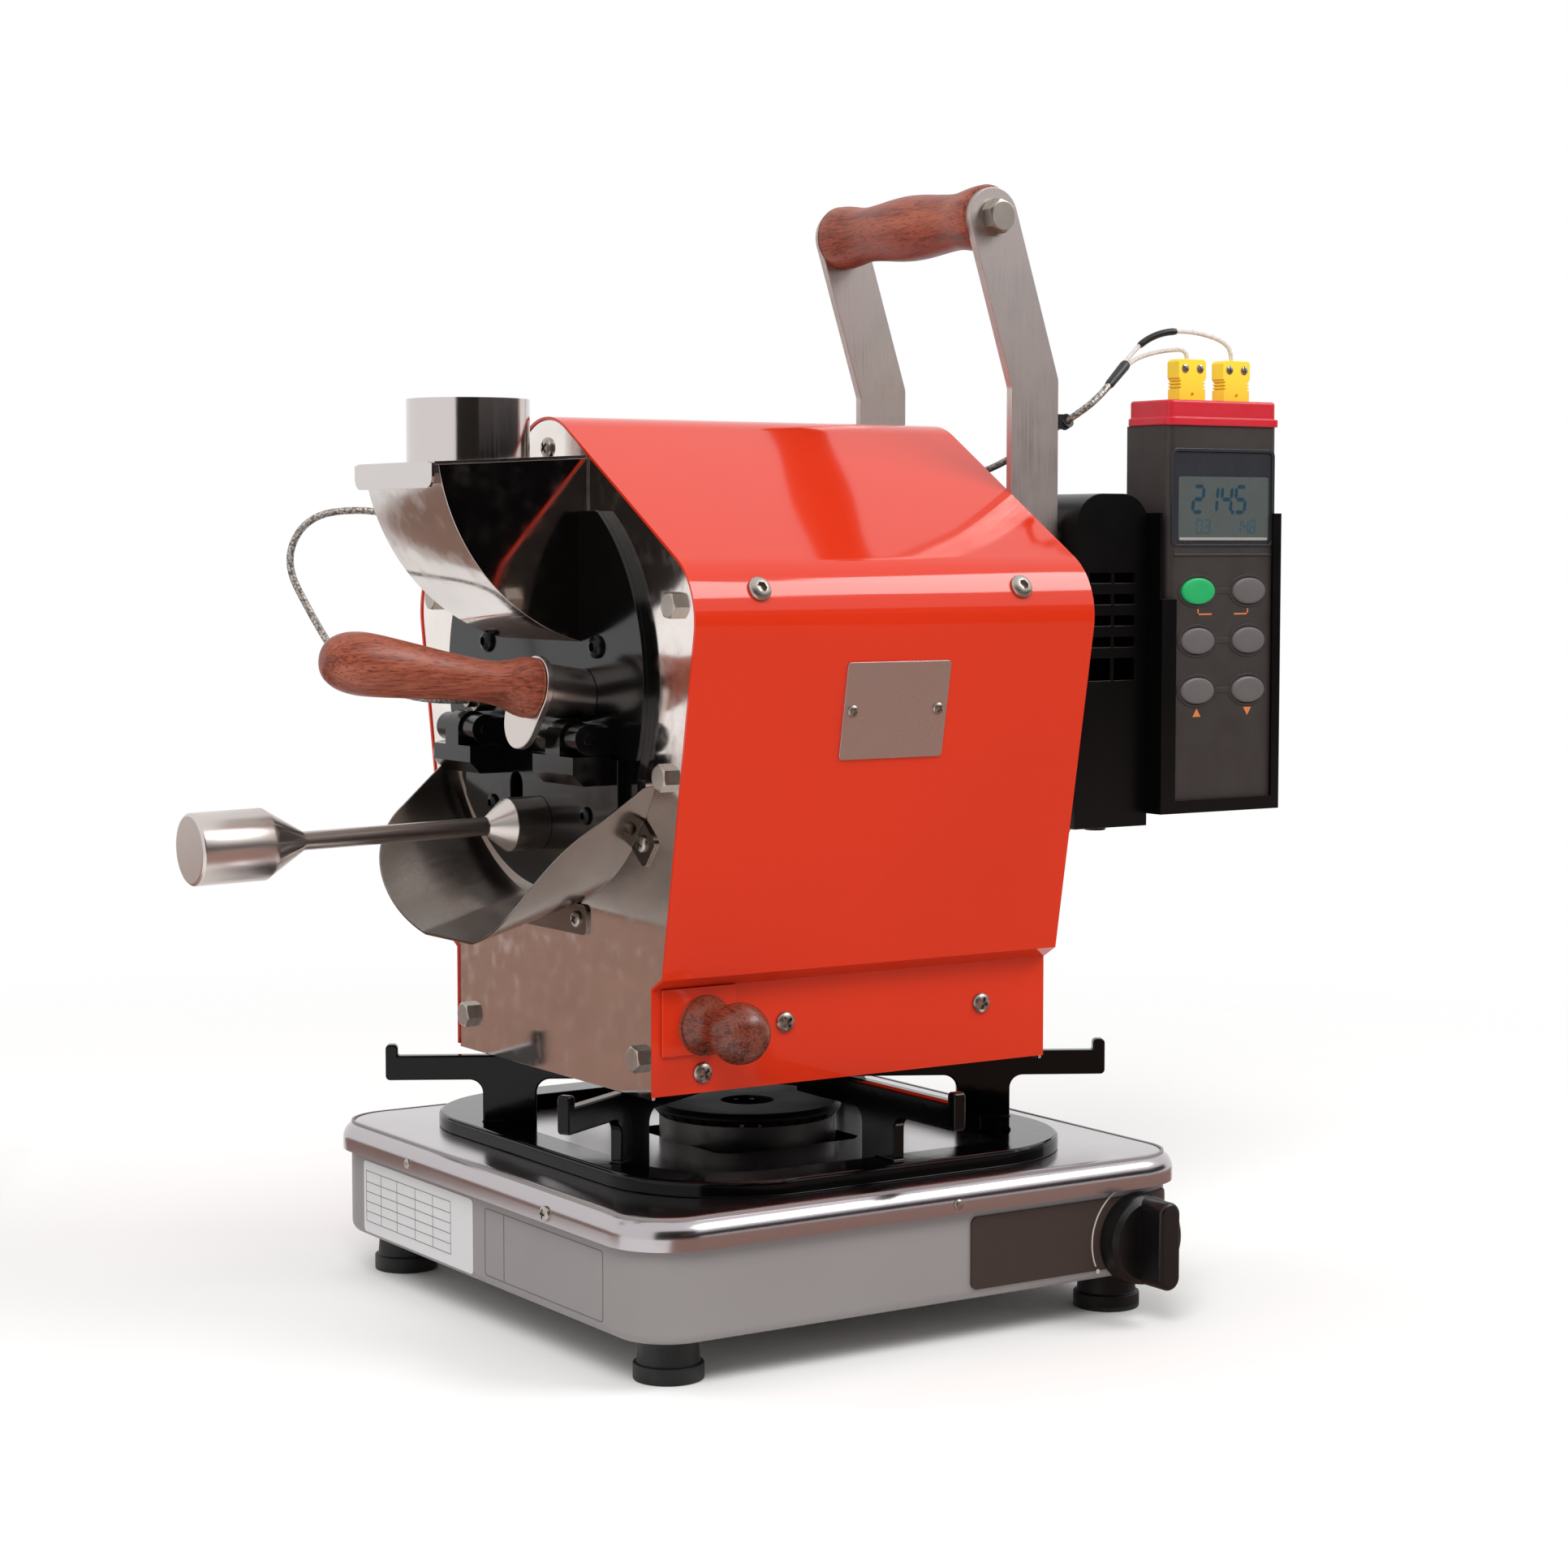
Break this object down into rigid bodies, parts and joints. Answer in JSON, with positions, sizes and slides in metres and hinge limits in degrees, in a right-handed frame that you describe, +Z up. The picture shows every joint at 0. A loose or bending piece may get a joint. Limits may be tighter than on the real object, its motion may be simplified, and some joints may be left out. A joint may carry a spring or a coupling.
{
  "type": "home coffee bean roaster",
  "caption": "Tabletop drum coffee roaster with hopper, weighted drop door, chute, trier, chaff drawer and carry handle, standing on a gas stove, with a temperature logger behind",
  "frame": {"origin": "on the surface that the stove stands on, below the middle of the roaster's front plate", "axes": "+Z up, -Y out of the front (hopper, door and chute), +X to the side with the gas knob and the chaff drawer"},
  "size_m": [0.3264, 0.5066, 0.4906],
  "materials": {
    "red_paint": "glossy orange-red powder coat",
    "stainless": "satin to mirror stainless sheet",
    "steel": "turned and machined stainless steel",
    "black_anodised": "glossy black anodised plate",
    "wood": "oiled red-brown hardwood",
    "dark_wood": "oiled dark hardwood",
    "black_sheet": "satin black painted sheet",
    "mild_steel": "plain steel",
    "charcoal_plastic": "fine-textured charcoal plastic",
    "red_plastic": "red plastic",
    "grey_rubber": "grey rubber key",
    "green_rubber": "green rubber key",
    "screen": "liquid crystal display",
    "yellow_plastic": "yellow plastic",
    "braid": "braided steel sleeve",
    "white_wire": "white woven glass sleeve",
    "black_plastic": "black plastic",
    "grey_paint": "grey painted steel",
    "brown_panel": "dark brown panel",
    "enamel": "glossy black enamel",
    "rubber": "black rubber",
    "aluminium": "cast aluminium",
    "burner_brass": "machined brass"
  },
  "bodies": {
    "stove": {"stove_body": "grey_paint", "stove_top": "stainless", "stove_feet": "rubber", "stove_screws": "steel", "control_panel": "brown_panel", "gas_valve": "burner_brass", "burner_base": "aluminium"},
    "knob": {"gas_knob": "black_plastic"},
    "burner": {"burner_cap": "enamel"},
    "stand": {"trivet": "enamel"},
    "door": {"hinge_moving": "black_anodised", "door_plate": "black_anodised", "door_screws": "black_anodised", "lever": "steel"},
    "trier": {"trier_spoon": "steel", "trier_handle": "wood"},
    "lid": {"hopper_lid": "stainless"},
    "drawer": {"drawer_tray": "red_paint", "drawer_knob": "dark_wood"},
    "roasting_drum": {"drum": "mild_steel"},
    "key_1": {"logger_button_1": "green_rubber"},
    "key_2": {"logger_button_2": "grey_rubber"},
    "key_3": {"logger_button_3": "grey_rubber"},
    "key_4": {"logger_button_4": "grey_rubber"},
    "key_5": {"logger_button_5": "grey_rubber"},
    "key_6": {"logger_button_6": "grey_rubber"},
    "roaster": {"side_cover": "red_paint", "front_plate": "stainless", "rear_plate": "stainless", "tie_rods": "steel", "plate_bolts": "steel", "cover_screws": "steel", "side_rails": "mild_steel", "heat_plate": "mild_steel", "name_plate": "stainless", "door_frame": "black_anodised", "front_disc": "black_anodised", "disc_screws": "black_anodised", "hinge_fixed": "black_anodised", "trier_bush": "black_anodised", "probe_fitting": "steel", "hopper": "stainless", "chute": "stainless", "drawer_guide": "mild_steel", "rear_bearing": "steel", "handle_arms": "stainless", "handle_grip": "wood", "handle_bolts": "steel", "motor_box": "black_sheet", "box_floor": "black_sheet", "gear_motor": "aluminium", "logger_holder": "black_sheet", "logger_case": "charcoal_plastic", "logger_cap": "red_plastic", "logger_display": "screen", "lead_plugs": "yellow_plastic", "bean_lead": "braid", "plug_wires": "white_wire", "lead_sleeves": "black_plastic", "lead_clip": "black_plastic"}
  },
  "joints": [
    {"name": "stand_lift", "type": "slide", "parent": "stove", "child": "stand", "axis": [0, 0, 1], "range_m": [0, 0.03]},
    {"name": "roaster_lift", "type": "slide", "parent": "stand", "child": "roaster", "axis": [0, 0, 1], "range_m": [0, 0.12]},
    {"name": "burner_lift", "type": "slide", "parent": "stove", "child": "burner", "axis": [0, 0, 1], "range_m": [0, 0.012]},
    {"name": "knob_turn", "type": "hinge", "parent": "stove", "child": "knob", "pos_m": [0.145, 0.208, 0.035], "axis": [1, 0, 0], "range_deg": [0, 90]},
    {"name": "door_swing", "type": "hinge", "parent": "roaster", "child": "door", "pos_m": [0, -0.016, 0.253], "axis": [-1, 0, 0], "range_deg": [0, 38]},
    {"name": "trier_pull", "type": "slide", "parent": "roaster", "child": "trier", "axis": [0, -0.989, 0.1478], "range_m": [0, 0.1]},
    {"name": "lid_lift", "type": "slide", "parent": "roaster", "child": "lid", "axis": [0, 0, 1], "range_m": [0, 0.05]},
    {"name": "drawer_pull", "type": "slide", "parent": "roaster", "child": "drawer", "axis": [1, 0, 0], "range_m": [0, 0.06]},
    {"name": "drum_spin", "type": "hinge", "parent": "roaster", "child": "roasting_drum", "pos_m": [0, 0.1, 0.2757], "axis": [0, 1, 0], "continuous": true},
    {"name": "key_press_1", "type": "slide", "parent": "roaster", "child": "key_1", "axis": [-1, 0, 0], "range_m": [0, 0.001], "stiffness_N_per_m": 300},
    {"name": "key_press_2", "type": "slide", "parent": "roaster", "child": "key_2", "axis": [-1, 0, 0], "range_m": [0, 0.001], "stiffness_N_per_m": 300},
    {"name": "key_press_3", "type": "slide", "parent": "roaster", "child": "key_3", "axis": [-1, 0, 0], "range_m": [0, 0.001], "stiffness_N_per_m": 300},
    {"name": "key_press_4", "type": "slide", "parent": "roaster", "child": "key_4", "axis": [-1, 0, 0], "range_m": [0, 0.001], "stiffness_N_per_m": 300},
    {"name": "key_press_5", "type": "slide", "parent": "roaster", "child": "key_5", "axis": [-1, 0, 0], "range_m": [0, 0.001], "stiffness_N_per_m": 300},
    {"name": "key_press_6", "type": "slide", "parent": "roaster", "child": "key_6", "axis": [-1, 0, 0], "range_m": [0, 0.001], "stiffness_N_per_m": 300}
  ]
}
